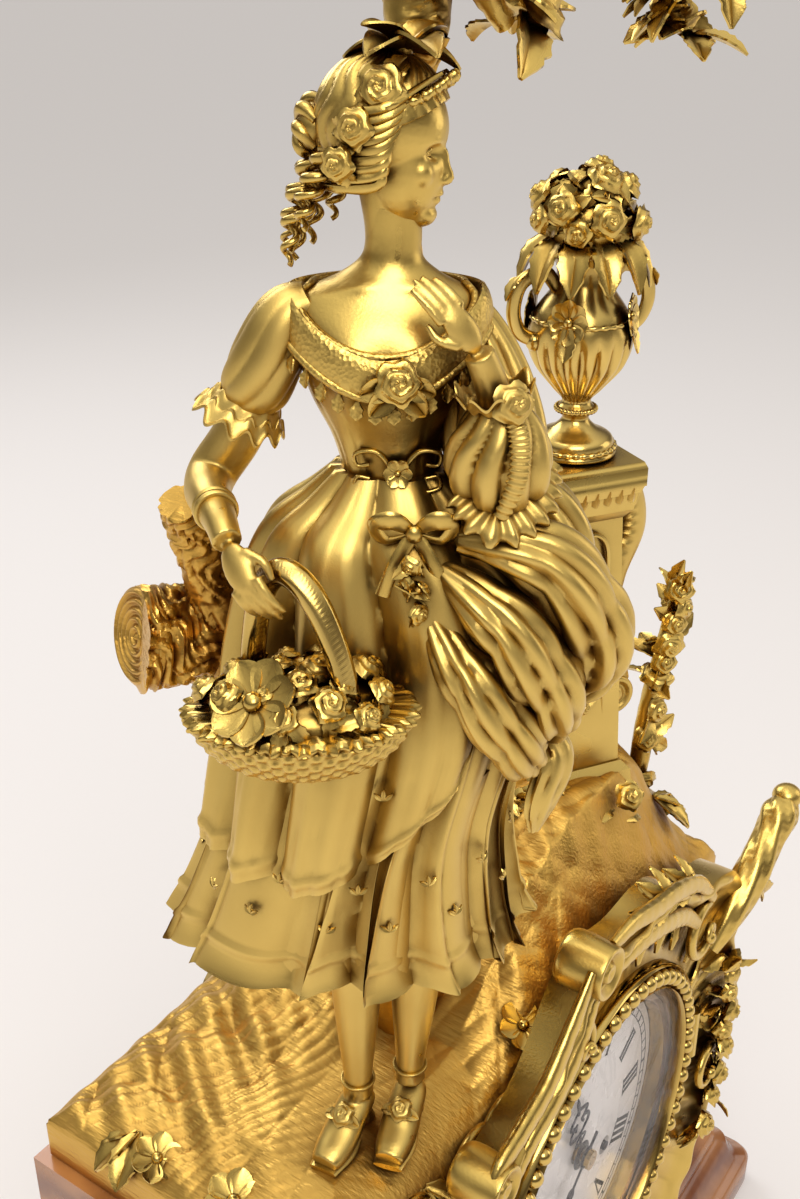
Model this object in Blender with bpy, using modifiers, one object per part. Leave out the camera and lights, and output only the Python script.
"""A gilt bronze figural mantel clock on a honey onyx case.

A lady rests against a tree stump on a rock terrace, with a flower basket on her
right arm, and an urn on a pedestal stands beside her over the dial. The case holds
a round eight-day movement with a pendulum, a bell and a rear door.

Frame: metres, +Z up, the front faces -Y, origin at the centre of the underside.
"""

import math

import bmesh
import bpy
from mathutils import Matrix, Vector

# ---- driving dimensions, in metres ----------------------------------------
GAP = 0.0003                # between pieces that touch
PLAY = 0.0002               # between a shaft and its hole
PLINTH_WIDTH = 0.224
PLINTH_DEPTH = 0.124
PLINTH_HEIGHT = 0.026
BODY_WIDTH = 0.186
BODY_DEPTH = 0.092
BODY_HEIGHT = 0.104
DIAL_DROP = 0.025           # dial centre below the top of the case
DIAL_SEAT = 0.001           # how far the dial laps over the hole for the movement
SLOT_HALF_WIDTH = 0.018     # pendulum slot at the back of the case
SLOT_FLOOR = 0.013          # above the plinth
TERRACE_INSET = 0.0028
TERRACE_RIM = 0.0085        # height of the upright edge of the rock
STAND_RISE = 0.0215         # where the lady stands, above the case
PEAK_RISE = 0.055           # foot of the pedestal, above the case
FRAME_THICKNESS = 0.0053
ENAMEL_RADIUS = 0.042
ENAMEL_THICKNESS = 0.0012
SLIP_WIDTH = 0.0019
BEZEL_RADIUS = 0.050        # middle of the bead row
BEZEL_HALF_WIDTH = 0.0035
BEZEL_DEPTH = 0.0056
HINGE_RADIUS = 0.0021
MINUTE_HAND_TURN = 231      # degrees clockwise from XII
HOUR_HAND_TURN = 330 + MINUTE_HAND_TURN / 12
MOVEMENT_ROOM = 0.0025      # between the plates and the hole in the case
HOUR_HAND_SHORT = 0.018     # how far each hand stops inside the dial's edge
MINUTE_HAND_SHORT = 0.006
PLATE_THICKNESS = 0.0018
MOVEMENT_LENGTH = 0.037     # between the two plates
PILLAR_RADIUS = 0.0022
PILLAR_INSET = 0.006
ARBOR_RADIUS = 0.0013
ARBOR_SPREAD = 0.017
ARBOR_DROP = 0.013
BARREL_MARGIN = 0.0041      # between a barrel and the edge of the plates
BARREL_LENGTH = 0.018
CENTRE_ARBOR_RADIUS = 0.0009
HOUR_PIPE_RADIUS = 0.0022
PENDULUM_LENGTH = 0.079
BOB_RADIUS = 0.009
ROD_RADIUS = 0.0007
BELL_MARGIN = 0.0145        # between the bell and the edge of the plates
HAMMER_INSET = 0.0085       # between the hammer's pivot and the edge of the plates
DOOR_HALF_WIDTH = 0.044
DOOR_THICKNESS = 0.002
FIGURE_X = -0.055
FIGURE_Y = -0.024
HEM_RISE = 0.054            # hem of the skirt, above her soles
FIGURE_HEADING = math.radians(55.3)   # the lady's back points this way from +Y to +X
PEDESTAL_X = 0.050
PEDESTAL_Y = -0.009
PEDESTAL_TURN = math.radians(-32)    # its front turned towards the front left
PEDESTAL_WIDTH = 0.019
CORNICE_WIDTH = 0.025
CORNICE_HEIGHT = 0.007
PEDESTAL_TOP = 0.141        # above the case

# ---- worked out from them --------------------------------------------------
BODY_BOTTOM = PLINTH_HEIGHT + GAP
CASE_TOP = PLINTH_HEIGHT + BODY_HEIGHT
BORE_RADIUS = ENAMEL_RADIUS - DIAL_SEAT
PLATE_RADIUS = BORE_RADIUS - MOVEMENT_ROOM
PILLAR_CIRCLE = PLATE_RADIUS - PILLAR_INSET
BARREL_RADIUS = PLATE_RADIUS - math.hypot(ARBOR_SPREAD, ARBOR_DROP) - BARREL_MARGIN
BELL_RADIUS = PLATE_RADIUS - BELL_MARGIN
HAMMER_X = HAMMER_INSET - PLATE_RADIUS
FRONT = -BODY_DEPTH / 2
BACK = BODY_DEPTH / 2
DIAL_Z = CASE_TOP - DIAL_DROP
STAND_Z = CASE_TOP + STAND_RISE
PEAK_Z = CASE_TOP + PEAK_RISE
FRAME_BACK = FRONT - GAP
FRAME_FRONT = FRAME_BACK - FRAME_THICKNESS
FRAME_HOLE = ENAMEL_RADIUS + SLIP_WIDTH + 2 * GAP
DIAL_FRONT = FRAME_BACK - ENAMEL_THICKNESS
BEZEL_BACK = FRAME_FRONT - GAP
BEZEL_FRONT = BEZEL_BACK - BEZEL_DEPTH
HINGE_X = BEZEL_RADIUS + BEZEL_HALF_WIDTH + GAP + HINGE_RADIUS
HINGE_Y = FRAME_FRONT - GAP - HINGE_RADIUS
FRONT_PLATE_FRONT = FRONT + 0.003
FRONT_PLATE_BACK = FRONT_PLATE_FRONT + PLATE_THICKNESS
BACK_PLATE_FRONT = FRONT_PLATE_BACK + MOVEMENT_LENGTH
BACK_PLATE_BACK = BACK_PLATE_FRONT + PLATE_THICKNESS
ARBOR_Z = DIAL_Z - ARBOR_DROP
PENDULUM_Y = BACK_PLATE_BACK + 0.0092
PENDULUM_TOP = DIAL_Z + 0.030
BOB_Z = PENDULUM_TOP - PENDULUM_LENGTH
BELL_RIM_Y = PENDULUM_Y + 0.0065
BELL_DEPTH = BELL_RADIUS * 0.56
DOOR_FRONT = BACK + 2 * GAP
PEDESTAL_TOP_Z = CASE_TOP + PEDESTAL_TOP

GILT = ("gilt_bronze", (0.83, 0.62, 0.25, 1), 0.30, 1.0)
ONYX = ("honey_onyx", (0.62, 0.37, 0.17, 1), 0.25, 0.0)
BRASS = ("movement_brass", (0.78, 0.60, 0.27, 1), 0.28, 1.0)
STEEL = ("blued_steel", (0.03, 0.03, 0.05, 1), 0.30, 0.9)
ENAMEL = ("white_enamel", (0.88, 0.86, 0.84, 1), 0.12, 0.0)
GLASS = ("clear_glass", (0.95, 0.97, 0.98, 0.3), 0.03, 0.0)

pieces = None
cutters = None


# ---- making and placing ------------------------------------------------------
def start_scene():
    """Empty the file and make the two collections."""
    global pieces, cutters
    for obj in list(bpy.data.objects):
        bpy.data.objects.remove(obj)
    pieces = bpy.data.collections.new("mantel_clock")
    cutters = bpy.data.collections.new("cutters")
    bpy.context.scene.collection.children.link(pieces)
    bpy.context.scene.collection.children.link(cutters)


def material(finish):
    """The Principled material of a finish, made once."""
    name, colour, roughness, metallic = finish
    found = bpy.data.materials.get(name)
    if found:
        return found
    made = bpy.data.materials.new(name)
    made.use_nodes = True
    shader = made.node_tree.nodes["Principled BSDF"]
    shader.inputs["Base Color"].default_value = colour
    shader.inputs["Roughness"].default_value = roughness
    shader.inputs["Metallic"].default_value = metallic
    return made


def add_object(name, data, finish, smooth=True):
    """Link a new object with its finish."""
    made = bpy.data.objects.new(name, data)
    data.materials.append(material(finish))
    pieces.objects.link(made)
    if smooth and isinstance(data, bpy.types.Mesh):
        data.shade_smooth()
        data.set_sharp_from_angle(angle=math.radians(35))
    return made


def mesh_object(name, bm, finish):
    """Turn a bmesh into an object."""
    bmesh.ops.recalc_face_normals(bm, faces=bm.faces)
    mesh = bpy.data.meshes.new(name)
    bm.to_mesh(mesh)
    bm.free()
    return add_object(name, mesh, finish)


def box(name, low, high, finish):
    """A box between two corners."""
    bm = bmesh.new()
    bmesh.ops.create_cube(bm, size=1)
    low, high = Vector(low), Vector(high)
    size = high - low
    bmesh.ops.scale(bm, vec=size, verts=bm.verts)
    bmesh.ops.translate(bm, vec=(low + high) / 2, verts=bm.verts)
    return mesh_object(name, bm, finish)


def rod(name, start, end, radius, finish, sides=16, end_radius=None):
    """A cylinder, or a cone, between two points."""
    start, end = Vector(start), Vector(end)
    bm = bmesh.new()
    bmesh.ops.create_cone(
        bm, cap_ends=True, segments=sides, radius1=radius,
        radius2=radius if end_radius is None else end_radius, depth=(end - start).length)
    turn = (end - start).to_track_quat("Z", "Y").to_matrix().to_4x4()
    bmesh.ops.transform(bm, matrix=Matrix.Translation((start + end) / 2) @ turn, verts=bm.verts)
    return mesh_object(name, bm, finish)


def ball(name, centre, radii, finish, across=16, down=10):
    """An ellipsoid."""
    bm = bmesh.new()
    bmesh.ops.create_uvsphere(bm, u_segments=across, v_segments=down, radius=1)
    bmesh.ops.scale(bm, vec=radii, verts=bm.verts)
    bmesh.ops.translate(bm, vec=centre, verts=bm.verts)
    return mesh_object(name, bm, finish)


def turned(name, profile, finish, centre=(0, 0, 0), along_y=False, steps=24):
    """A profile of (radius, height) points, top to bottom down the outside, turned about an axis.

    With along_y the axis is the Y axis, and a height is a distance towards the front.
    """
    bm = bmesh.new()
    points = [bm.verts.new((radius, 0, height)) for radius, height in profile]
    for first, second in zip(points, points[1:]):
        bm.edges.new((first, second))
    mesh = bpy.data.meshes.new(name)
    bm.to_mesh(mesh)
    bm.free()
    made = add_object(name, mesh, finish, smooth=False)
    made.location = centre
    if along_y:
        made.rotation_euler = (math.radians(90), 0, 0)
    screw = made.modifiers.new("turn", "SCREW")
    screw.steps = steps
    screw.render_steps = steps
    screw.use_merge_vertices = True
    screw.merge_threshold = 0.00001
    return made


def ring_profile(inner, outer, top, bottom):
    """The closed rectangle profile of a ring."""
    return [(outer, top), (outer, bottom), (inner, bottom), (inner, top), (outer, top)]


def tube(name, points, finish, sides=2):
    """A tapering tube through points of (x, y, z, radius), as a closed mesh."""
    curve = bpy.data.curves.new(name, "CURVE")
    curve.dimensions = "3D"
    curve.bevel_depth = 1.0
    curve.bevel_resolution = sides
    curve.use_fill_caps = True
    spline = curve.splines.new("POLY")
    spline.points.add(len(points) - 1)
    for point, (x, y, z, radius) in zip(spline.points, points):
        point.co = (x, y, z, 1)
        point.radius = radius
    return as_mesh(add_object(name, curve, finish, smooth=False))


def outline(name, loops, finish, middle_y, thickness):
    """Flat loops of (x, z) points, filled and given a thickness along Y, as a closed mesh."""
    curve = bpy.data.curves.new(name, "CURVE")
    curve.dimensions = "2D"
    curve.fill_mode = "BOTH"
    curve.extrude = thickness / 2
    for loop in loops:
        spline = curve.splines.new("POLY")
        spline.points.add(len(loop) - 1)
        spline.use_cyclic_u = True
        for point, (x, z) in zip(spline.points, loop):
            point.co = (x, z, 0, 1)
    made = add_object(name, curve, finish, smooth=False)
    made.location = (0, middle_y, 0)
    made.rotation_euler = (math.radians(90), 0, 0)
    return as_mesh(made)


def as_mesh(curved):
    """Replace a curve object with a welded mesh object of the same name and place."""
    bpy.context.view_layer.update()
    name = curved.name
    data = bpy.data.meshes.new_from_object(
        curved.evaluated_get(bpy.context.evaluated_depsgraph_get()))
    place = curved.matrix_world.copy()
    bpy.data.objects.remove(curved)
    bm = bmesh.new()
    bm.from_mesh(data)
    bmesh.ops.remove_doubles(bm, verts=bm.verts, dist=0.00001)
    bmesh.ops.recalc_face_normals(bm, faces=bm.faces)
    bm.to_mesh(data)
    bm.free()
    data.name = name
    made = bpy.data.objects.new(name, data)
    pieces.objects.link(made)
    made.matrix_world = place
    return made


def loft(name, rings, finish, sides=16):
    """Closed skin over level rings of (x, y, radius_x, radius_y, z), turned with the lady."""
    bm = bmesh.new()
    rows = []
    for side, away, wide, deep, height in rings:
        row = []
        for step in range(sides):
            angle = 2 * math.pi * step / sides
            row.append(bm.verts.new(lady(
                side + wide * math.cos(angle), away + deep * math.sin(angle), height)))
        rows.append(row)
    for lower, upper in zip(rows, rows[1:]):
        for step in range(sides):
            after = (step + 1) % sides
            bm.faces.new((lower[step], lower[after], upper[after], upper[step]))
    bm.faces.new(rows[0])
    bm.faces.new(rows[-1])
    return mesh_object(name, bm, finish)


def boolean(target, other, operation):
    """Cut or join with another object, which becomes a hidden helper."""
    if other.name in pieces.objects:
        pieces.objects.unlink(other)
        cutters.objects.link(other)
    other.hide_render = True
    other.display_type = "WIRE"
    step = target.modifiers.new(operation.lower(), "BOOLEAN")
    step.operation = operation
    step.object = other
    step.solver = "EXACT"
    return target


def cut(target, other):
    return boolean(target, other, "DIFFERENCE")


def join(target, other):
    return boolean(target, other, "UNION")


def clear_of(target, *neighbours, gap=GAP):
    """Cut a piece back so that it keeps the gap to each neighbour it meets."""
    for neighbour in neighbours:
        bpy.context.view_layer.update()
        data = bpy.data.meshes.new_from_object(
            neighbour.evaluated_get(bpy.context.evaluated_depsgraph_get()))
        grown = bmesh.new()
        grown.from_mesh(data)
        bmesh.ops.transform(grown, matrix=neighbour.matrix_world, verts=grown.verts)
        bmesh.ops.remove_doubles(grown, verts=grown.verts, dist=0.000005)
        bmesh.ops.recalc_face_normals(grown, faces=grown.faces)
        grown.normal_update()
        moves = [(vert, vert.normal * gap * 1.7) for vert in grown.verts]
        for vert, move in moves:
            vert.co += move
        grown.to_mesh(data)
        grown.free()
        helper = bpy.data.objects.new(f"{neighbour.name}_room_in_{target.name}", data)
        cutters.objects.link(helper)
        cut(target, helper)
    return target


def lady(side, away, height):
    """A point in the lady's own frame: side is towards her left hand, away is behind her."""
    return Vector((
        FIGURE_X + side * math.cos(FIGURE_HEADING) + away * math.sin(FIGURE_HEADING),
        FIGURE_Y - side * math.sin(FIGURE_HEADING) + away * math.cos(FIGURE_HEADING),
        STAND_Z + height))


def lady_tube(name, points, finish=GILT):
    """A tube through points of (side, away, height, radius) in the lady's own frame."""
    return tube(name, [(*lady(s, a, h), r) for s, a, h, r in points], finish)


def circle(radius, count, centre_x=0.0, centre_z=0.0):
    """Points (x, z) round a circle."""
    return [(centre_x + radius * math.cos(2 * math.pi * i / count),
             centre_z + radius * math.sin(2 * math.pi * i / count)) for i in range(count)]


def along_dial(name, x, z, start_y, end_y, radius, finish, sides=16):
    """A rod parallel to the dial's axis."""
    return rod(name, (x, start_y, z), (x, end_y, z), radius, finish, sides)


# ---- case -----------------------------------------------------------------------
def make_case():
    """Plinth and case block, bored for the movement and slotted for the pendulum."""
    plinth = box("plinth", (-PLINTH_WIDTH / 2, -PLINTH_DEPTH / 2, 0),
                 (PLINTH_WIDTH / 2, PLINTH_DEPTH / 2, PLINTH_HEIGHT), ONYX)
    edge = plinth.modifiers.new("moulded_edge", "BEVEL")
    edge.width = 0.004
    edge.segments = 2
    block = box("case_block", (-BODY_WIDTH / 2, FRONT, BODY_BOTTOM),
                (BODY_WIDTH / 2, BACK, CASE_TOP), ONYX)
    cut(block, movement_bore("case_bore"))
    slot_floor = BODY_BOTTOM + SLOT_FLOOR
    cut(block, box("pendulum_slot", (-SLOT_HALF_WIDTH, 0, slot_floor),
                   (SLOT_HALF_WIDTH, BACK * 1.2, DIAL_Z), ONYX))
    return block


def movement_bore(name):
    return along_dial(name, 0, DIAL_Z, FRONT * 1.2, BACK * 1.2, BORE_RADIUS, ONYX, sides=40)


def hill(x, y, centre_x, centre_y, spread_x, spread_y):
    """A smooth bump, 1 at its centre."""
    return math.exp(-((x - centre_x) / spread_x) ** 2 - ((y - centre_y) / spread_y) ** 2)


def rock_height(x, y):
    """Height of the rock above the case top at a point."""
    over_dial = 0.031 * hill(x, y, 0.006, -0.025, 0.045, 0.060)
    peak = 0.030 * hill(x, y, PEDESTAL_X, PEDESTAL_Y, 0.030, 0.030)
    rough = 0.0011 * math.sin(310 * x + 1.3) * math.cos(270 * y) + 0.0007 * math.sin(610 * x - 420 * y)
    height = 0.017 + over_dial + peak + rough
    stand = hill(x, y, FIGURE_X, FIGURE_Y, 0.034, 0.024)
    height += (STAND_RISE - height) * min(1, 1.9 * stand)
    foot = hill(x, y, PEDESTAL_X, PEDESTAL_Y, 0.021, 0.021)
    height += (PEAK_RISE - height) * min(1, 1.9 * foot)
    to_edge = min(BODY_WIDTH / 2 - abs(x), BODY_DEPTH / 2 - y)
    rounding = math.sqrt(max(0, min(1, to_edge / 0.016)))
    return TERRACE_RIM + (height - TERRACE_RIM) * (0.18 + 0.82 * rounding)


def make_terrace():
    """The cast rock that covers the case and arches over the movement."""
    across, deep = 26, 15
    half_x = BODY_WIDTH / 2 - TERRACE_INSET
    half_y = BODY_DEPTH / 2 - TERRACE_INSET
    bm = bmesh.new()
    bmesh.ops.create_grid(bm, x_segments=across, y_segments=deep, size=1)
    for vert in bm.verts:
        x, y = vert.co.x * half_x, vert.co.y * half_y
        vert.co = (x, y, CASE_TOP + rock_height(x, y))
    below = bmesh.ops.extrude_face_region(bm, geom=bm.faces[:])["geom"]
    lowered = [item for item in below if isinstance(item, bmesh.types.BMVert)]
    for vert in lowered:
        vert.co.z = CASE_TOP + GAP
    floor = [item for item in below if isinstance(item, bmesh.types.BMFace)]
    bmesh.ops.dissolve_faces(bm, faces=floor)
    terrace = mesh_object("rock_terrace", bm, GILT)
    cut(terrace, movement_bore("terrace_arch"))
    return terrace


# ---- dial and hands --------------------------------------------------------------
def frame_edge(angle):
    """Distance of the dial frame's rococo edge from the dial centre, by angle from +X."""
    degrees = math.degrees(angle)
    def swell(at, width, height):
        off = (degrees - at + 180) % 360 - 180
        return height * math.exp(-(off / width) ** 2)
    return (0.064 + swell(140, 9, 0.008) + swell(100, 13, 0.011) + swell(68, 18, 0.010)
            + swell(32, 16, 0.020) + swell(-10, 26, 0.022) + swell(196, 24, 0.018)
            + swell(-55, 26, 0.020) + swell(235, 24, 0.020))


def make_frame(terrace):
    """The rococo surround of the dial, with its rolled scrolls, and the horn at its right."""
    edge = []
    for step in range(72):
        angle = 2 * math.pi * step / 72
        reach = frame_edge(angle)
        edge.append((reach * math.cos(angle), DIAL_Z + reach * math.sin(angle)))
    hole = circle(FRAME_HOLE, 40, 0, DIAL_Z)
    frame = outline("dial_frame", [edge, hole], GILT,
                    (FRAME_BACK + FRAME_FRONT) / 2, FRAME_THICKNESS)
    for side, x, up, radius in (("low", -0.056, 0.048, 0.0046), ("high", -0.013, 0.074, 0.0050)):
        join(frame, along_dial(f"{side}_roll", x, DIAL_Z + up, FRAME_BACK - 0.0007,
                               FRAME_BACK - 0.0112, radius, GILT, sides=14))
    horn = tube("scroll_horn", [
        (0.066, FRAME_FRONT - 0.0038, DIAL_Z + 0.030, 0.0035),
        (0.077, FRAME_FRONT - 0.0055, DIAL_Z + 0.040, 0.0045),
        (0.087, FRAME_FRONT - 0.0065, DIAL_Z + 0.048, 0.0040),
        (0.094, FRAME_FRONT - 0.0070, DIAL_Z + 0.054, 0.0052),
        (0.098, FRAME_FRONT - 0.0070, DIAL_Z + 0.055, 0.0030)], GILT)
    clear_of(horn, frame, terrace)
    return frame


def make_dial():
    """Enamel dial with its slip ring, and the hinged beaded bezel with its glass."""
    holes = [circle(ARBOR_RADIUS * 2.1, 16, side * ARBOR_SPREAD, ARBOR_Z) for side in (-1, 1)]
    holes.append(circle(HOUR_PIPE_RADIUS + 0.0008, 16, 0, DIAL_Z))
    outline("enamel_dial", [circle(ENAMEL_RADIUS, 48, 0, DIAL_Z), *holes], ENAMEL,
            (FRAME_BACK + DIAL_FRONT) / 2, ENAMEL_THICKNESS)
    centre = (0, 0, DIAL_Z)
    inner = ENAMEL_RADIUS + GAP
    turned("dial_slip_ring", ring_profile(
        inner, inner + SLIP_WIDTH, -FRAME_FRONT, -FRAME_BACK), GILT, centre, True, 40)
    low, high = BEZEL_RADIUS - BEZEL_HALF_WIDTH, BEZEL_RADIUS + BEZEL_HALF_WIDTH
    turned("beaded_bezel", [
        (high, -BEZEL_BACK + 0.003), (high, -BEZEL_BACK), (low, -BEZEL_BACK),
        (low, -BEZEL_BACK + 0.003), (BEZEL_RADIUS - 0.0016, -BEZEL_FRONT),
        (BEZEL_RADIUS + 0.0016, -BEZEL_FRONT), (high, -BEZEL_BACK + 0.003)], GILT, centre, True, 48)
    rim = low - GAP
    back = -BEZEL_BACK + 0.0012
    dome = [(rim * math.sin(a), back + 0.0012 + 0.0042 * (math.cos(a * 0.98) if a else 1))
            for a in [math.pi / 2 * i / 6 for i in range(7)]]
    under = [(r, h - 0.0012) for r, h in dome[::-1]]
    turned("dial_glass", dome + under, GLASS, centre, True, 40)
    rod("bezel_hinge", (HINGE_X, HINGE_Y, DIAL_Z - 0.008), (HINGE_X, HINGE_Y, DIAL_Z + 0.008),
        HINGE_RADIUS, GILT, 12)


def hand_outline(reach, widths, boss, tail):
    """Outline of a hand that points up: a round boss, a blade of half-widths, and a tail."""
    right = [(wide, share * reach) for share, wide in widths]
    left = [(-wide, z) for wide, z in right[::-1]]
    round_boss = [(boss * math.cos(math.radians(turn)), boss * math.sin(math.radians(turn)))
                  for turn in range(150, 391, 24)]
    round_boss[5] = (0, -tail)
    return [(x, DIAL_Z + z) for x, z in right + [(0, reach)] + left + round_boss]


def turned_points(points, degrees):
    """Points (x, z) turned clockwise about the dial centre."""
    turn = math.radians(degrees)
    return [(x * math.cos(turn) + (z - DIAL_Z) * math.sin(turn),
             DIAL_Z - x * math.sin(turn) + (z - DIAL_Z) * math.cos(turn)) for x, z in points]


def make_hands():
    """Hour and minute hands, the arbor and pipe that carry them, and the collet."""
    hour_back = DIAL_FRONT - 0.0010
    minute_back = hour_back - 0.0014
    thick = 0.0006
    hour = hand_outline(ENAMEL_RADIUS - HOUR_HAND_SHORT, [
        (0.22, 0.0012), (0.36, 0.0012), (0.48, 0.0042), (0.66, 0.0040), (0.82, 0.0014)],
        0.0038, 0.0038)
    minute = hand_outline(ENAMEL_RADIUS - MINUTE_HAND_SHORT, [
        (0.12, 0.0011), (0.34, 0.0010), (0.45, 0.0032), (0.62, 0.0030), (0.78, 0.0011)],
        0.0028, 0.0075)
    pipe_hole = circle(HOUR_PIPE_RADIUS + PLAY, 14, 0, DIAL_Z)
    arbor_hole = circle(CENTRE_ARBOR_RADIUS + PLAY, 12, 0, DIAL_Z)
    outline("hour_hand", [turned_points(hour, HOUR_HAND_TURN), pipe_hole], STEEL,
            hour_back - thick / 2, thick)
    outline("minute_hand", [turned_points(minute, MINUTE_HAND_TURN), arbor_hole], STEEL,
            minute_back - thick / 2, thick)
    tip = minute_back - thick - 0.0014
    along_dial("centre_arbor", 0, DIAL_Z, tip, BACK_PLATE_FRONT - GAP, CENTRE_ARBOR_RADIUS,
               BRASS, 12)
    turned("hand_collet", ring_profile(
        CENTRE_ARBOR_RADIUS + PLAY, 0.0026, -tip, -(minute_back - thick - PLAY)),
        BRASS, (0, 0, DIAL_Z), True, 16)
    inner = CENTRE_ARBOR_RADIUS + PLAY
    wheel_front = FRAME_BACK + 0.0005
    wheel_back = wheel_front + 0.0008
    turned("hour_pipe", [
        (HOUR_PIPE_RADIUS, -(hour_back - thick)), (HOUR_PIPE_RADIUS, -wheel_front),
        (0.009, -wheel_front), (0.009, -wheel_back), (inner, -wheel_back),
        (inner, -(hour_back - thick)), (HOUR_PIPE_RADIUS, -(hour_back - thick))],
        BRASS, (0, 0, DIAL_Z), True, 20)


# ---- movement ----------------------------------------------------------------------
def make_movement():
    """Plates, pillars, barrels and winding arbors."""
    arbors = [(-ARBOR_SPREAD, ARBOR_Z), (ARBOR_SPREAD, ARBOR_Z)]
    bearing = ARBOR_RADIUS + PLAY
    front_holes = [circle(bearing, 14, x, z) for x, z in arbors]
    front_holes.append(circle(CENTRE_ARBOR_RADIUS + PLAY, 14, 0, DIAL_Z))
    outline("front_plate", [circle(PLATE_RADIUS, 40, 0, DIAL_Z), *front_holes], BRASS,
            (FRONT_PLATE_FRONT + FRONT_PLATE_BACK) / 2, PLATE_THICKNESS)
    back_holes = [circle(bearing, 14, x, z) for x, z in arbors]
    back_holes.append(circle(0.0008 + PLAY, 12, 0, DIAL_Z + 0.023))
    outline("back_plate", [circle(PLATE_RADIUS, 40, 0, DIAL_Z), *back_holes], BRASS,
            (BACK_PLATE_FRONT + BACK_PLATE_BACK) / 2, PLATE_THICKNESS)
    for number, degrees in enumerate((35, 145, 270), 1):
        turn = math.radians(degrees)
        along_dial(f"plate_pillar_{number}", PILLAR_CIRCLE * math.cos(turn),
                   DIAL_Z + PILLAR_CIRCLE * math.sin(turn), FRONT_PLATE_BACK + GAP,
                   BACK_PLATE_FRONT - GAP, PILLAR_RADIUS, BRASS, 12)
    barrel_front = FRONT_PLATE_BACK + 0.004
    for side, train in ((1, "going"), (-1, "strike")):
        x = side * ARBOR_SPREAD
        along_dial(f"{train}_arbor", x, ARBOR_Z, DIAL_FRONT - 0.0006, BACK_PLATE_BACK + 0.0008,
                   ARBOR_RADIUS, STEEL, 12)
        turned(f"{train}_barrel", ring_profile(
            bearing, BARREL_RADIUS, -barrel_front, -(barrel_front + BARREL_LENGTH)),
            BRASS, (x, 0, ARBOR_Z), True, 28)
    for side, name in ((-1, "left"), (1, "right")):
        inner = PLATE_RADIUS + GAP
        low_x, high_x = sorted((side * inner, side * (inner + 0.0016)))
        box(f"{name}_case_strap", (low_x, FRAME_BACK + GAP, DIAL_Z - 0.004),
            (high_x, BACK - GAP, DIAL_Z + 0.004), BRASS)


def make_pendulum():
    """Suspension cock, pendulum and the crutch that drives it."""
    box("suspension_cock", (-0.003, BACK_PLATE_BACK + GAP, PENDULUM_TOP + GAP),
        (0.003, PENDULUM_Y + 0.0025, PENDULUM_TOP + 0.0032), BRASS)
    rod_end = BOB_Z - BOB_RADIUS - 0.004
    rod("pendulum_rod", (0, PENDULUM_Y, rod_end), (0, PENDULUM_Y, PENDULUM_TOP), ROD_RADIUS,
        STEEL, 12)
    through = ROD_RADIUS + PLAY
    bob = turned("pendulum_bob", [(0, 0.0022), (BOB_RADIUS * 0.6, 0.0018), (BOB_RADIUS, 0),
                                  (BOB_RADIUS * 0.6, -0.0018), (0, -0.0022)],
                 BRASS, (0, PENDULUM_Y, BOB_Z), True, 28)
    cut(bob, rod("bob_hole", (0, PENDULUM_Y, rod_end), (0, PENDULUM_Y, DIAL_Z), through, BRASS, 12))
    nut_top = BOB_Z - BOB_RADIUS - GAP
    turned("rating_nut", ring_profile(through, 0.0022, nut_top, nut_top - 0.0026), BRASS,
           (0, PENDULUM_Y, 0), False, 16)
    pivot_z = DIAL_Z + 0.023
    crutch_y = PENDULUM_Y - 0.0022
    tube("pallet_crutch", [
        (0, FRONT_PLATE_BACK + GAP, pivot_z, 0.0008), (0, crutch_y, pivot_z, 0.0008),
        (0, crutch_y, pivot_z - 0.017, 0.0007)], STEEL)


def make_bell():
    """Bell, the stand that holds it behind the back plate, and its hammer."""
    wall = 0.0012
    stud = 0.0022
    turns = [math.pi / 2 * i / 6 for i in range(1, 7)]
    shape = [(stud + GAP, BELL_DEPTH)]
    shape += [(BELL_RADIUS * math.sin(a), BELL_DEPTH * math.cos(a)) for a in turns]
    inside = [((BELL_RADIUS - wall) * math.sin(a), (BELL_DEPTH - wall) * math.cos(a))
              for a in turns[::-1]]
    profile = shape + inside + [(stud + GAP, BELL_DEPTH - wall), shape[0]]
    bell = turned("bell", profile, BRASS, (0, BELL_RIM_Y, DIAL_Z), True, 28)
    bell.rotation_euler = (math.radians(-90), 0, 0)
    apex = BELL_RIM_Y + BELL_DEPTH
    side = BELL_RADIUS + 0.005
    tube("bell_stand", [
        (side, BACK_PLATE_BACK + GAP, DIAL_Z + 0.006, 0.0014),
        (side, apex + 0.003, DIAL_Z + 0.006, 0.0014), (0.006, apex + 0.003, DIAL_Z, 0.0014),
        (0, apex + 0.0015, DIAL_Z, stud), (0, apex - 0.006, DIAL_Z, stud)], BRASS)
    tube("bell_hammer", [
        (HAMMER_X, BACK_PLATE_BACK + GAP, DIAL_Z + 0.018, 0.0009),
        (HAMMER_X, BELL_RIM_Y + 0.003, DIAL_Z + 0.018, 0.0009),
        (HAMMER_X + 0.0007, BELL_RIM_Y + 0.003, DIAL_Z + 0.011, 0.0009),
        (HAMMER_X + 0.0012, BELL_RIM_Y + 0.003, DIAL_Z + 0.009, 0.0030),
        (HAMMER_X + 0.0019, BELL_RIM_Y + 0.003, DIAL_Z + 0.003, 0.0030)], BRASS)


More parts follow.
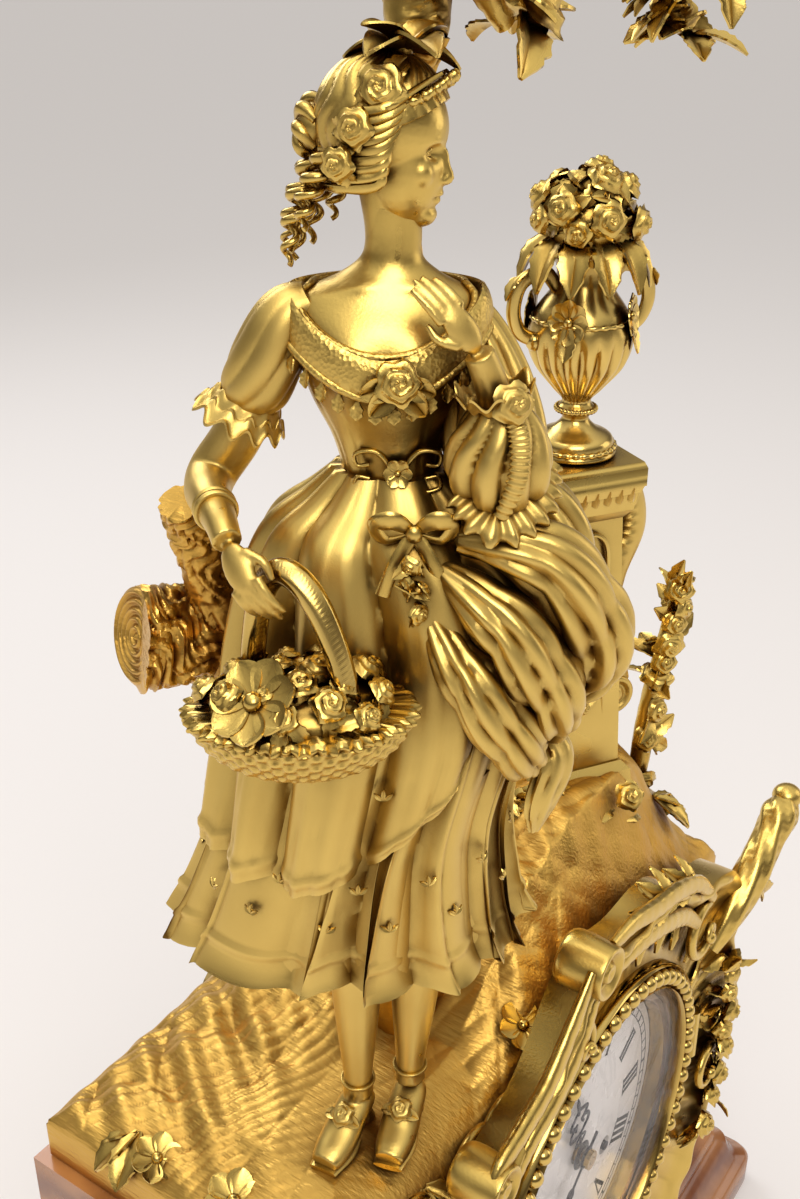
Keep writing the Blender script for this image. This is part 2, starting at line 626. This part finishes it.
def make_rear_door():
    """Arched brass door over the movement and the pendulum slot, with its hinge and knob."""
    foot = BODY_BOTTOM + SLOT_FLOOR - 0.006
    arch = [(DOOR_HALF_WIDTH * math.cos(math.pi * i / 20),
             DIAL_Z + DOOR_HALF_WIDTH * math.sin(math.pi * i / 20)) for i in range(21)]
    edge = arch + [(-DOOR_HALF_WIDTH, foot), (DOOR_HALF_WIDTH, foot)]
    slots = []
    for number in range(12):
        turn = 2 * math.pi * number / 12
        slots.append(circle(0.0032, 10, 0.020 * math.cos(turn), DIAL_Z + 0.020 * math.sin(turn)))
    middle = DOOR_FRONT + DOOR_THICKNESS / 2
    outline("rear_door", [edge, *slots], BRASS, middle, DOOR_THICKNESS)
    hinge_x = -(DOOR_HALF_WIDTH + GAP + 0.0018)
    rod("door_hinge", (hinge_x, middle + 0.0012, DIAL_Z - 0.020),
        (hinge_x, middle + 0.0012, DIAL_Z - 0.002), 0.0018, BRASS, 12)
    face = DOOR_FRONT + DOOR_THICKNESS + GAP
    turned("door_knob", [(0, 0.0050), (0.0030, 0.0042), (0.0030, 0.0030), (0.0014, 0.0020),
                         (0.0020, 0), (0, 0)], BRASS, (0.036, face, DIAL_Z - 0.006), True, 16
           ).rotation_euler = (math.radians(-90), 0, 0)


# ---- lady, basket and tree -----------------------------------------------------------
def make_lady():
    """The standing figure, cast in separate pieces as a founder would."""
    skirt = loft("skirt", [
        (-0.0045, 0.006, 0.0320, 0.0250, HEM_RISE), (-0.0035, 0.005, 0.0290, 0.0240, 0.0660),
        (-0.001, 0.004, 0.0255, 0.0230, 0.0840), (0.004, 0.004, 0.0265, 0.0215, 0.1040),
        (0.007, 0.004, 0.0280, 0.0200, 0.1190), (0.006, 0.003, 0.0245, 0.0185, 0.1320),
        (0.004, 0.002, 0.0195, 0.0160, 0.1420), (0.004, 0.001, 0.0125, 0.0105, 0.1480),
        (0.0042, 0, 0.0086, 0.0072, 0.1522)], GILT, 20)
    torso = loft("bodice", [
        (0.0042, 0, 0.0084, 0.0070, 0.1522 + GAP), (0.0038, -0.0005, 0.0095, 0.0075, 0.1575),
        (0.0034, -0.0012, 0.0122, 0.0092, 0.1645), (0.0032, -0.0015, 0.0136, 0.0102, 0.1705),
        (0.0032, -0.0008, 0.0152, 0.0094, 0.1765), (0.0035, 0, 0.0140, 0.0076, 0.1812),
        (0.0040, 0, 0.0078, 0.0056, 0.1842), (0.0043, 0, 0.0048, 0.0046, 0.1866),
        (0.0046, 0, 0.0044, 0.0044, 0.1905)], GILT)
    ball("head", lady(0.0042, 0.0004, 0.2036), (0.0115, 0.0115, 0.0127), GILT)
    right_arm = lady_tube("right_arm", [
        (-0.0100, -0.001, 0.1790, 0.0050), (-0.0165, -0.001, 0.1700, 0.0072),
        (-0.0208, 0, 0.1600, 0.0054), (-0.0265, 0.001, 0.1500, 0.0046),
        (-0.0245, -0.006, 0.1495, 0.0040), (-0.0200, -0.012, 0.1495, 0.0031),
        (-0.0172, -0.018, 0.1440, 0.0036), (-0.0130, -0.0215, 0.1400, 0.0020)])
    left_arm = lady_tube("left_arm", [
        (0.0160, -0.001, 0.1780, 0.0056), (0.0200, -0.002, 0.1690, 0.0078),
        (0.0208, -0.004, 0.1570, 0.0080), (0.0207, -0.008, 0.1520, 0.0056),
        (0.0207, -0.011, 0.1600, 0.0058), (0.0207, -0.0125, 0.1700, 0.0031),
        (0.0165, -0.0145, 0.1790, 0.0034), (0.0115, -0.0155, 0.1855, 0.0020)])
    for name, points in (
        ("right_leg", [(-0.003, 0.002, HEM_RISE - 0.0006, 0.0062), (-0.003, 0.001, 0.0300, 0.0050),
                       (-0.0036, -0.001, 0.0150, 0.0032), (-0.0046, -0.002, 0.0070, 0.0038),
                       (-0.0070, -0.006, 0.0036, 0.0040), (-0.0100, -0.011, 0.0026, 0.0030)]),
        ("left_leg", [(0.0105, 0.003, HEM_RISE - 0.0006, 0.0062), (0.0098, 0.003, 0.0320, 0.0050),
                      (0.0086, 0.002, 0.0170, 0.0032), (0.0076, 0.001, 0.0080, 0.0038),
                      (0.0050, -0.005, 0.0040, 0.0040), (0.0022, -0.011, 0.0026, 0.0030)])):
        leg = lady_tube(name, points)
        cut(leg, ground_block(f"{name}_sole", GAP))
    return skirt, torso, right_arm, left_arm


def ground_block(name, lift):
    """A helper whose top is the ground that the lady stands on."""
    return box(name, (FIGURE_X - 0.06, FIGURE_Y - 0.06, STAND_Z - 0.03),
               (FIGURE_X + 0.06, FIGURE_Y + 0.06, STAND_Z + lift), GILT)


def make_basket():
    """Oval basket heaped with flowers, and its twisted handle."""
    basket = loft("flower_basket", [
        (-0.0105, -0.0262, 0.0090, 0.0065, 0.1100), (-0.0105, -0.0262, 0.0140, 0.0095, 0.1130),
        (-0.0105, -0.0262, 0.0172, 0.0118, 0.1180), (-0.0105, -0.0262, 0.0165, 0.0112, 0.1225),
        (-0.0105, -0.0262, 0.0110, 0.0080, 0.1265), (-0.0105, -0.0262, 0.0050, 0.0040, 0.1280)],
        GILT)
    handle = lady_tube("basket_handle", [
        (-0.0040, -0.0290, 0.1220, 0.0020), (-0.0052, -0.0280, 0.1310, 0.0020),
        (-0.0085, -0.0260, 0.1400, 0.0020), (-0.0125, -0.0235, 0.1432, 0.0020),
        (-0.0160, -0.0215, 0.1400, 0.0020), (-0.0175, -0.0210, 0.1300, 0.0020),
        (-0.0175, -0.0215, 0.1220, 0.0020)])
    clear_of(handle, basket)
    return basket, handle


def make_tree(terrace):
    """Tree behind the lady with a sawn limb, a stub under her elbow, and the flowering bough."""
    trunk = lady_tube("tree_trunk", [
        (0.006, 0.036, 0.0000, 0.0095), (0.005, 0.034, 0.0650, 0.0085),
        (0.004, 0.031, 0.1150, 0.0075), (0.005, 0.023, 0.1450, 0.0062),
        (0.006, 0.0155, 0.1750, 0.0050), (0.0075, 0.0165, 0.2000, 0.0046),
        (0.0085, 0.0150, 0.2200, 0.0046)])
    limb = lady_tube("sawn_limb", [
        (-0.004, 0.030, 0.1080, 0.0075), (-0.020, 0.022, 0.1090, 0.0078),
        (-0.0465, 0.011, 0.1135, 0.0088)])
    stub = lady_tube("bark_stub", [
        (-0.0275, 0.016, 0.1120, 0.0050), (-0.0300, 0.012, 0.1280, 0.0044),
        (-0.0318, 0.0065, 0.1400, 0.0040), (-0.0325, 0.0050, 0.1435, 0.0036)])
    top = lady(0.0085, 0.0150, 0.2204)
    bough = tube("rose_bough", [
        (top.x, top.y, top.z, 0.0046), (top.x + 0.004, top.y + 0.002, top.z + 0.012, 0.0050),
        (top.x + 0.026, top.y + 0.006, top.z + 0.023, 0.0042),
        (PEDESTAL_X - 0.015, PEDESTAL_Y, top.z + 0.026, 0.0036),
        (PEDESTAL_X + 0.018, PEDESTAL_Y - 0.001, top.z + 0.016, 0.0036),
        (PEDESTAL_X + 0.038, PEDESTAL_Y - 0.002, top.z + 0.005, 0.0120),
        (PEDESTAL_X + 0.048, PEDESTAL_Y - 0.002, top.z - 0.006, 0.0070)], GILT)
    clear_of(trunk, terrace)
    clear_of(bough, trunk)
    clear_of(limb, trunk)
    clear_of(stub, limb)
    return trunk, limb, stub, bough


# ---- pedestal and urn -------------------------------------------------------------------
def on_pedestal(along, across, height):
    """A point in the pedestal's own turned frame, from its axis and the underside of the case."""
    turn = Matrix.Rotation(PEDESTAL_TURN, 3, "Z") @ Vector((along, across, 0))
    return turn + Vector((PEDESTAL_X, PEDESTAL_Y, height))


def pedestal_block(name, width, low, high):
    """A square block on the pedestal's axis, turned with it."""
    half = width / 2
    block = box(name, (-half, -half, low), (half, half, high), GILT)
    block.data.transform(Matrix.Translation((PEDESTAL_X, PEDESTAL_Y, 0))
                         @ Matrix.Rotation(PEDESTAL_TURN, 4, "Z"))
    return block


def make_pedestal():
    """Square pedestal with a moulded cornice, standing on the rock over the dial."""
    top = PEDESTAL_TOP_Z
    shaft = pedestal_block("pedestal", PEDESTAL_WIDTH, PEAK_Z + GAP, top - CORNICE_HEIGHT / 2)
    join(shaft, pedestal_block("cornice", CORNICE_WIDTH, top - CORNICE_HEIGHT, top))
    side = PEDESTAL_WIDTH / 2
    join(shaft, tube("console", [
        (*on_pedestal(side - 0.001, 0, top - 0.010), 0.0050),
        (*on_pedestal(side + 0.003, 0, top - 0.020), 0.0052),
        (*on_pedestal(side + 0.001, 0, top - 0.040), 0.0040),
        (*on_pedestal(side + 0.004, 0, top - 0.058), 0.0048)], GILT))
    return shaft


def make_urn():
    """Two-handled urn with its bouquet."""
    base = PEDESTAL_TOP_Z + GAP
    at = (PEDESTAL_X, PEDESTAL_Y, base)
    urn = turned("urn", [
        (0, 0.0455), (0.0078, 0.0455), (0.0082, 0.0435), (0.0066, 0.0410), (0.0068, 0.0360),
        (0.0108, 0.0310), (0.0120, 0.0265), (0.0105, 0.0205), (0.0060, 0.0150),
        (0.0034, 0.0120), (0.0044, 0.0100), (0.0032, 0.0080), (0.0050, 0.0058),
        (0.0088, 0.0042), (0.0092, 0), (0, 0)], GILT, at, False, 24)
    ball("urn_bouquet", (at[0], at[1], base + 0.0455 + GAP + 0.0092), (0.0130, 0.0130, 0.0092),
         GILT, 14, 8)
    for side, name in ((-1, "left"), (1, "right")):
        handle = tube(f"urn_handle_{name}", [
            (*on_pedestal(side * 0.0070, 0, base + 0.0400), 0.0014),
            (*on_pedestal(side * 0.0130, 0, base + 0.0425), 0.0015),
            (*on_pedestal(side * 0.0170, 0, base + 0.0390), 0.0016),
            (*on_pedestal(side * 0.0165, 0, base + 0.0330), 0.0016),
            (*on_pedestal(side * 0.0120, 0, base + 0.0285), 0.0014)], GILT)
        clear_of(handle, urn)


def make_spray(terrace, pedestal):
    """Flower spray rising from the rock beside the pedestal."""
    spray = tube("flower_spray", [
        (0.074, -0.022, CASE_TOP + 0.015, 0.0060), (0.076, -0.023, CASE_TOP + 0.055, 0.0045),
        (0.079, -0.025, CASE_TOP + 0.080, 0.0052), (0.082, -0.026, CASE_TOP + 0.094, 0.0030)],
        GILT)
    clear_of(spray, terrace, pedestal)


def main():
    start_scene()
    make_case()
    terrace = make_terrace()
    make_frame(terrace)
    make_dial()
    make_hands()
    make_movement()
    make_pendulum()
    make_bell()
    make_rear_door()
    skirt, torso, right_arm, left_arm = make_lady()
    basket, handle = make_basket()
    trunk, limb, stub, bough = make_tree(terrace)
    pedestal = make_pedestal()
    make_urn()
    make_spray(terrace, pedestal)
    clear_of(right_arm, torso, handle, stub, skirt)
    clear_of(left_arm, torso, skirt)
    clear_of(basket, skirt)
    clear_of(trunk, skirt, torso)
    clear_of(limb, skirt)


main()
